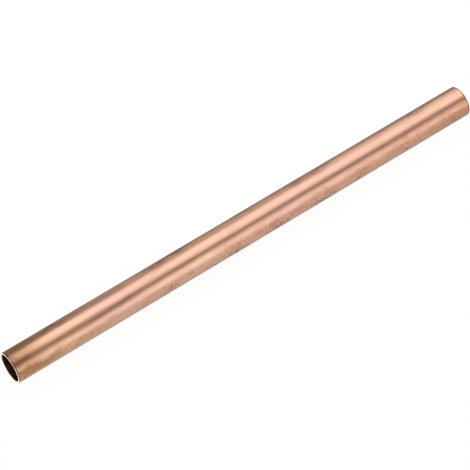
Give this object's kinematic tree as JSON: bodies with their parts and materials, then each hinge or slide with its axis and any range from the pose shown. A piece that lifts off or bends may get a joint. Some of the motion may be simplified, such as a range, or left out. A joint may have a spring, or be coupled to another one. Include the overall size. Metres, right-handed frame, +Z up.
{
  "type": "copper pipe length",
  "caption": "Straight round copper pipe of thin drawn wall, open right through, cut square and deburred at both ends, to carry water or heating between fittings.",
  "frame": {"origin": "on the floor under the middle of the pipe, at the lowest line of its wall", "axes": "+X along the pipe's axis, +Y across it, +Z up from the floor that it lies on"},
  "size_m": [0.25, 0.015, 0.015],
  "materials": {
    "copper": "satin"
  },
  "bodies": {
    "root": {"copper_pipe": "copper"}
  },
  "joints": []
}
